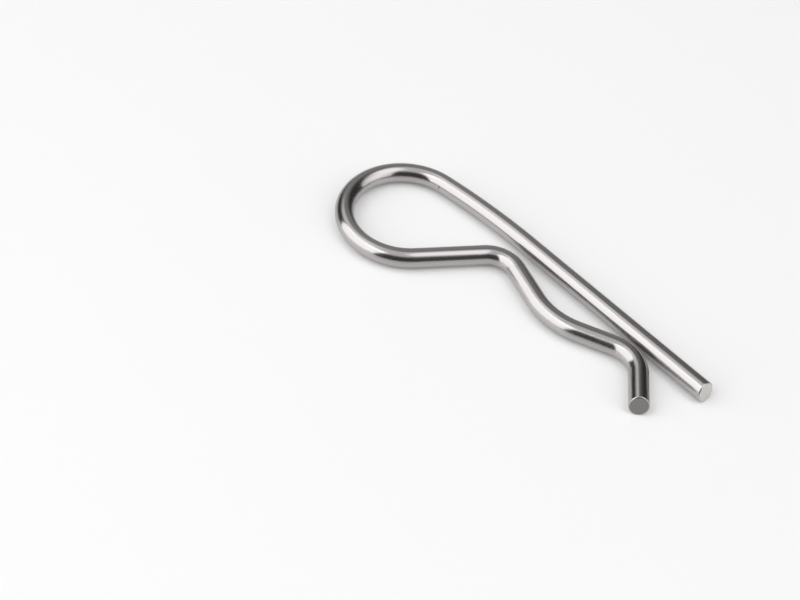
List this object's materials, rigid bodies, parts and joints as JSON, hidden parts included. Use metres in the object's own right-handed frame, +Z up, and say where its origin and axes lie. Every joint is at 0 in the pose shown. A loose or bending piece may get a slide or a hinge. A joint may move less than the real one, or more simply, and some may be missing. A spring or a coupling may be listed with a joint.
{
  "type": "hairpin cotter pin",
  "caption": "Hairpin cotter bent from round spring wire: a straight leg for a cross hole, a round eye, and a wavy sprung leg that grips the outside of the shaft.",
  "frame": {"origin": "middle of the clip's outline, at the underside of the wire, as the clip lies flat", "axes": "+X along the straight leg towards its cut end, +Y from the sprung leg towards the straight leg, +Z up, square to the plane that the wire is bent in"},
  "size_m": [0.0846, 0.0306, 0.004],
  "materials": {
    "spring_wire": "polished stainless spring wire"
  },
  "bodies": {
    "root": {"cotter_pin": "spring_wire"}
  },
  "joints": []
}
